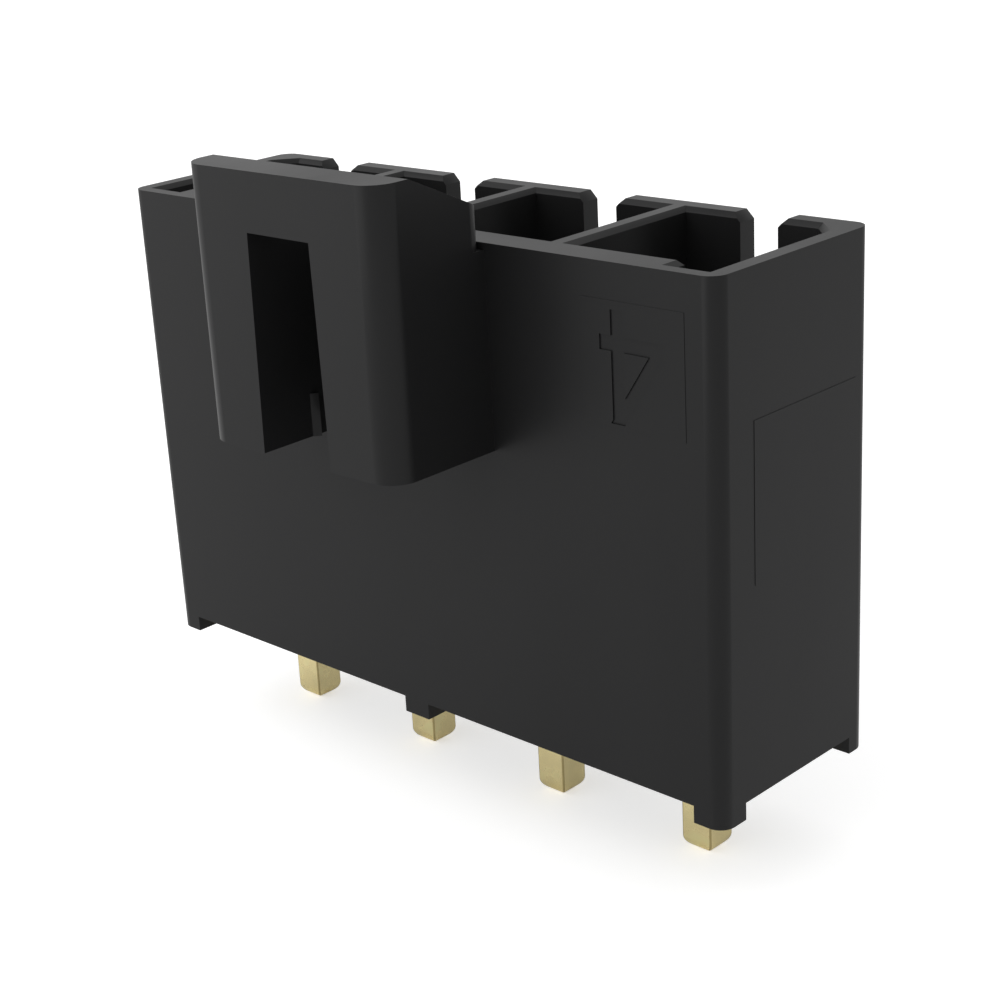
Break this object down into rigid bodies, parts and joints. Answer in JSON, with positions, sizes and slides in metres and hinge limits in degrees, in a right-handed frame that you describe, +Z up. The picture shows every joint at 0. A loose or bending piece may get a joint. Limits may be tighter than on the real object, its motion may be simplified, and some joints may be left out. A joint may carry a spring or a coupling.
{
  "type": "pin header",
  "caption": "Shrouded vertical board header: one row of square pins in separate cells of a moulded housing, with a window latch on its front.",
  "frame": {"origin": "middle of the row of pins, on the surface of the circuit board that the feet stand on", "axes": "+Z up, away from the board; X along the row of pins; -Y is the side of the latch"},
  "size_m": [0.0144, 0.0066, 0.0126],
  "materials": {
    "housing": "black moulded thermoplastic, satin",
    "pins": "pale gold plating"
  },
  "bodies": {
    "root": {"housing": "housing", "pin_1": "pins", "pin_2": "pins", "pin_3": "pins", "pin_4": "pins"}
  },
  "joints": []
}
